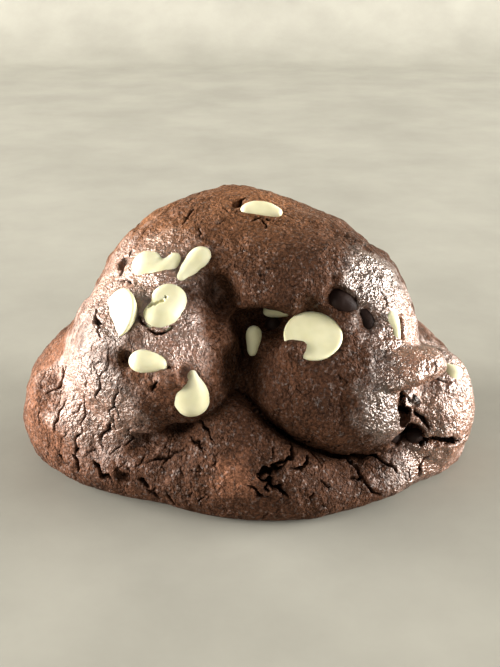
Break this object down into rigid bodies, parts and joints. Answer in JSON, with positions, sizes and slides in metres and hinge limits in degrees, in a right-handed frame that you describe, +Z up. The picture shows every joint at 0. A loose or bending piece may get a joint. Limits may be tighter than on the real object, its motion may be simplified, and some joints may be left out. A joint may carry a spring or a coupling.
{
  "type": "stuffed double chocolate cookie",
  "caption": "Tall, mounded cocoa-dough cookie with a folded lip round its foot, surface cracks, and white and dark chocolate chips set in the dough.",
  "frame": {"origin": "middle of the cookie's outline, on the surface that it stands on", "axes": "+Z up, +X to the right along the longest side, -Y towards the shown front"},
  "size_m": [0.0901, 0.0746, 0.0513],
  "materials": {
    "cookie_dough": "rough cocoa dough with an oily, finely crinkled crust",
    "white_chocolate": "smooth ivory white chocolate with a soft satin sheen",
    "dark_chocolate": "glossy, slightly melted dark chocolate"
  },
  "bodies": {
    "root": {"cookie_dough": "cookie_dough", "dark_chip_back_1": "dark_chocolate", "dark_chip_back_2": "dark_chocolate", "dark_chip_back_3": "dark_chocolate", "dark_chip_brow": "dark_chocolate", "dark_chip_cleft_left": "dark_chocolate", "dark_chip_cleft_right": "dark_chocolate", "dark_chip_right": "dark_chocolate", "dark_chip_under_brow": "dark_chocolate", "white_chip_back_1": "white_chocolate", "white_chip_back_2": "white_chocolate", "white_chip_back_3": "white_chocolate", "white_chip_back_4": "white_chocolate", "white_chip_back_5": "white_chocolate", "white_chip_back_6": "white_chocolate", "white_chip_back_7": "white_chocolate", "white_chip_back_8": "white_chocolate", "white_chip_curled": "white_chocolate", "white_chip_far_right": "white_chocolate", "white_chip_in_hole": "white_chocolate", "white_chip_lower": "white_chocolate", "white_chip_right": "white_chocolate", "white_chip_round_face": "white_chocolate", "white_chip_sliver": "white_chocolate", "white_chip_teardrop": "white_chocolate", "white_chip_tilted": "white_chocolate", "white_chip_top": "white_chocolate", "white_chip_under_brow": "white_chocolate", "white_chip_upper_left": "white_chocolate"}
  },
  "joints": []
}
